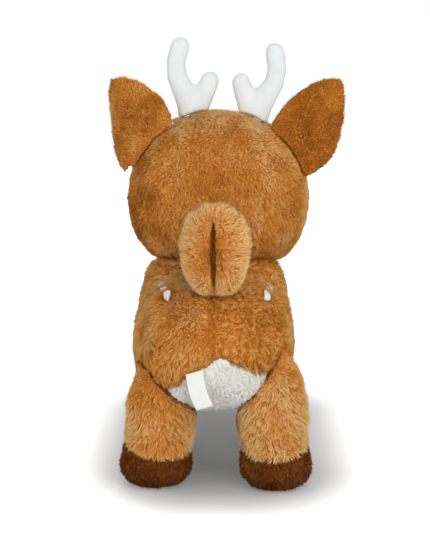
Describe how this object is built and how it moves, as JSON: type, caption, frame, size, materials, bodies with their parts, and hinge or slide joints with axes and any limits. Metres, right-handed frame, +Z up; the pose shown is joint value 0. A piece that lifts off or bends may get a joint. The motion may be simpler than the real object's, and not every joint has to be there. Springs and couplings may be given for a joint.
{
  "type": "plush deer",
  "caption": "Stuffed plush deer on soft legs, with curly brown fur, white antlers and spots, a cream belly, dark brown hooves and an upright tail.",
  "frame": {"origin": "on the ground, under the middle of the deer's outline box", "axes": "+Z up, +X towards the deer's left, the face looks along -Y and the tail along +Y"},
  "size_m": [0.1998, 0.2849, 0.3495],
  "materials": {
    "brown_fur": "long curly pile",
    "cream_fur": "long curly pile",
    "hoof_fur": "short plush pile",
    "white_velboa": "short smooth pile",
    "white_satin": "satin",
    "fibre": "loose fibre",
    "nose_velboa": "short smooth pile",
    "thread": "thread",
    "eye_plastic": "glossy",
    "washer_plastic": "matt"
  },
  "bodies": {
    "torso": {"body_panel_left": "brown_fur", "body_panel_right": "brown_fur", "belly_panel": "cream_fur", "body_stuffing": "fibre", "spot_left_1": "white_velboa", "spot_left_2": "white_velboa", "spot_left_3": "white_velboa", "spot_right_1": "white_velboa", "spot_right_2": "white_velboa", "spot_right_3": "white_velboa", "hind_left_leg_cover": "brown_fur", "hind_left_hoof_cover": "hoof_fur", "hind_left_sole": "hoof_fur", "hind_left_leg_stuffing": "fibre", "hind_right_leg_cover": "brown_fur", "hind_right_hoof_cover": "hoof_fur", "hind_right_sole": "hoof_fur", "hind_right_leg_stuffing": "fibre", "front_left_leg_cover": "brown_fur", "front_left_hoof_cover": "hoof_fur", "front_left_sole": "hoof_fur", "front_left_leg_stuffing": "fibre", "front_right_leg_cover": "brown_fur", "front_right_hoof_cover": "hoof_fur", "front_right_sole": "hoof_fur", "front_right_leg_stuffing": "fibre"},
    "head": {"head_panel_left": "brown_fur", "head_panel_right": "brown_fur", "head_gusset": "brown_fur", "muzzle_panel": "cream_fur", "head_stuffing": "fibre", "muzzle_stuffing": "fibre", "nose": "nose_velboa", "mouth_stitch": "thread", "eye_left": "eye_plastic", "eye_washer_left": "washer_plastic", "eye_right": "eye_plastic", "eye_washer_right": "washer_plastic"},
    "ear_left": {"ear_back_left": "brown_fur", "ear_lining_left": "cream_fur"},
    "ear_right": {"ear_back_right": "brown_fur", "ear_lining_right": "cream_fur"},
    "antler_left": {"antler_front_left": "white_velboa", "antler_back_left": "white_velboa", "antler_stuffing_left": "fibre"},
    "antler_right": {"antler_front_right": "white_velboa", "antler_back_right": "white_velboa", "antler_stuffing_right": "fibre"},
    "tail": {"tail_back_panel": "brown_fur", "tail_front_panel": "brown_fur", "tail_stuffing": "fibre"},
    "label": {"label": "white_satin"}
  },
  "joints": [
    {"name": "neck_turn", "type": "hinge", "parent": "torso", "child": "head", "pos_m": [0.009, -0.039, 0.162], "axis": [0, 0, 1], "range_deg": [-20, 20], "stiffness_Nm_per_rad": 0.6},
    {"name": "ear_bend_left", "type": "hinge", "parent": "head", "child": "ear_left", "pos_m": [0.0646, -0.019, 0.26564], "axis": [0.4617, 0, -0.887], "range_deg": [-30, 30], "stiffness_Nm_per_rad": 0.05},
    {"name": "ear_bend_right", "type": "hinge", "parent": "head", "child": "ear_right", "pos_m": [-0.05284, -0.019, 0.25845], "axis": [0.5373, 0, 0.8434], "range_deg": [-30, 30], "stiffness_Nm_per_rad": 0.05},
    {"name": "antler_bend_left", "type": "hinge", "parent": "head", "child": "antler_left", "pos_m": [0.02968, -0.041, 0.2824], "axis": [0.9981, 0, 0.061], "range_deg": [-15, 15], "stiffness_Nm_per_rad": 0.08},
    {"name": "antler_bend_right", "type": "hinge", "parent": "head", "child": "antler_right", "pos_m": [-0.02023, -0.041, 0.27934], "axis": [0.9981, 0, 0.061], "range_deg": [-15, 15], "stiffness_Nm_per_rad": 0.08},
    {"name": "tail_bend", "type": "hinge", "parent": "torso", "child": "tail", "pos_m": [0.01, 0.104, 0.1505], "axis": [-1, 0, 0], "range_deg": [-15, 55], "stiffness_Nm_per_rad": 0.06},
    {"name": "label_lift", "type": "hinge", "parent": "torso", "child": "label", "pos_m": [0.026, 0.14005, 0.099], "axis": [0.9563, 0.0255, -0.2913], "range_deg": [0, 70], "stiffness_Nm_per_rad": 0.002}
  ]
}
